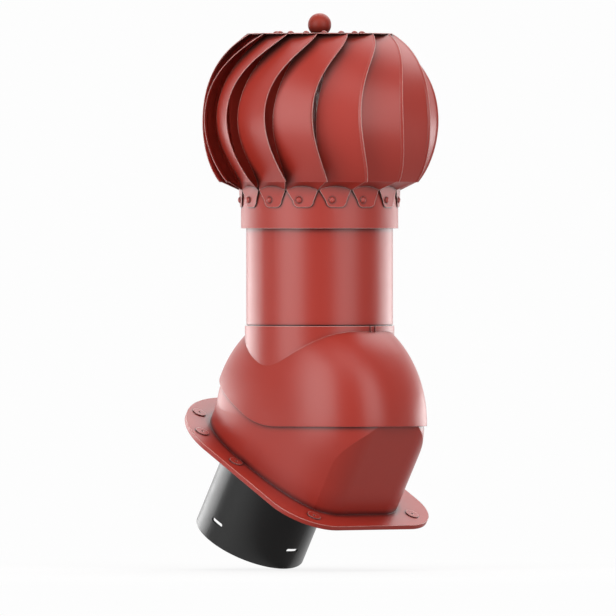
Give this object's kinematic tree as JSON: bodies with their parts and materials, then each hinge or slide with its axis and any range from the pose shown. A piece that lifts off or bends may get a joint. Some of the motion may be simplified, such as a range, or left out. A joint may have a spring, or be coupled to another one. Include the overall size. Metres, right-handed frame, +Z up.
{
  "type": "roof turbine ventilator",
  "caption": "Wind-driven roof turbine ventilator: curved blade rotor on a riser pipe, with a swivel hood and base for pitched roofs and a round duct spigot.",
  "frame": {"origin": "where the duct spigot's axis crosses the underside of the roof flange", "axes": "+Z up along the riser and the rotor's axle; -Y points down the 30 degree roof; X is level, across the roof, along the hood's swivel axis"},
  "size_m": [0.2583, 0.2916, 0.6065],
  "materials": {
    "red_plastic": "satin-gloss oxide red",
    "red_sheet": "satin-gloss oxide red paint on sheet steel",
    "black_plastic": "satin black",
    "seal_rubber": "matte black",
    "bright_steel": "zinc-plated"
  },
  "bodies": {
    "base": {"roof_base": "red_plastic", "duct_spigot": "black_plastic", "spigot_seal": "seal_rubber", "spigot_screws": "bright_steel"},
    "hood": {"hood_shell": "red_plastic", "pivot_pins": "bright_steel", "pivot_retainers": "bright_steel", "riser_pipe": "red_plastic", "axle_bracket": "bright_steel", "bracket_rivets": "bright_steel", "axle": "bright_steel", "axle_nuts": "bright_steel", "bearing_sleeve": "bright_steel", "lower_bearing_inner_race": "bright_steel", "upper_bearing_inner_race": "bright_steel"},
    "rotor": {"rotor_ring": "red_sheet", "ring_rivets": "red_sheet", "spider": "bright_steel", "lower_bearing_housing": "bright_steel", "upper_bearing_housing": "bright_steel", "lower_bearing_outer_race": "bright_steel", "upper_bearing_outer_race": "bright_steel", "lower_bearing_balls": "bright_steel", "upper_bearing_balls": "bright_steel", "top_disc": "red_sheet", "disc_rivets": "red_sheet", "ball_finial": "red_plastic", "blade_01": "red_sheet", "blade_02": "red_sheet", "blade_03": "red_sheet", "blade_04": "red_sheet", "blade_05": "red_sheet", "blade_06": "red_sheet", "blade_07": "red_sheet", "blade_08": "red_sheet", "blade_09": "red_sheet", "blade_10": "red_sheet", "blade_11": "red_sheet", "blade_12": "red_sheet", "blade_13": "red_sheet", "blade_14": "red_sheet", "blade_15": "red_sheet"}
  },
  "joints": [
    {"name": "hood_tilt", "type": "hinge", "parent": "base", "child": "hood", "pos_m": [0, -0.05418, 0.03685], "axis": [1, 0, 0], "range_deg": [-15, 25]},
    {"name": "rotor_spin", "type": "hinge", "parent": "hood", "child": "rotor", "pos_m": [0, -0.05418, 0.36684], "axis": [0, 0, 1], "continuous": true}
  ]
}
